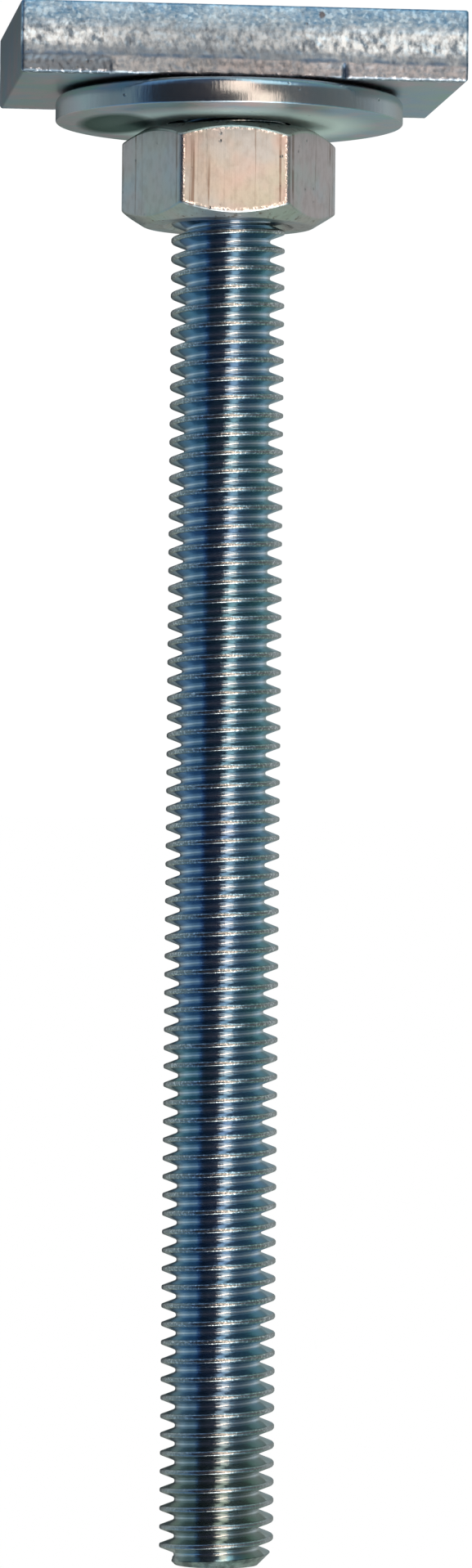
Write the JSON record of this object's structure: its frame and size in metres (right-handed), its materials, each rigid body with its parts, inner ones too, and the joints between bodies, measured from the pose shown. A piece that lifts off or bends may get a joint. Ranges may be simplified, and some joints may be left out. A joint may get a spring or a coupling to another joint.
{
  "type": "t slot bolt",
  "caption": "Bolt with a flat rectangular head for a T-slot, a long threaded stud, a large washer and a hexagon nut.",
  "frame": {"origin": "middle of the head's outer face, on the stud's axis: the bolt stands on its head", "axes": "+Z along the stud from the head to the tip, +X along the head's long side, +Y across the head"},
  "size_m": [0.03, 0.0236, 0.1048],
  "materials": {
    "plate_zinc": "bright zinc plate on steel flat bar, streaked and sparkling where the bar was sheared",
    "stud_zinc": "bright zinc plate with a blue-green tint on a rolled thread",
    "washer_zinc": "satin zinc plate with a green-grey tint on punched sheet",
    "nut_zinc": "satin zinc plate, lightly scratched on the flats and pitted on the chamfers"
  },
  "bodies": {
    "bolt": {"head_plate": "plate_zinc", "threaded_stud": "stud_zinc"},
    "washer": {"flat_washer": "washer_zinc"},
    "nut": {"hex_nut": "nut_zinc"}
  },
  "joints": [
    {"name": "washer_slide", "type": "slide", "parent": "bolt", "child": "washer", "axis": [0, 0, 1], "range_m": [0, 0.0875]},
    {"name": "nut_turn", "type": "hinge", "parent": "washer", "child": "nut", "pos_m": [0, 0, 0.01055], "axis": [0, 0, 1], "range_deg": [0, 25200]}
  ],
  "couplings": [
    {"joint": "washer_slide", "follows": "nut_turn", "m_per_rad": 0.00019894}
  ]
}
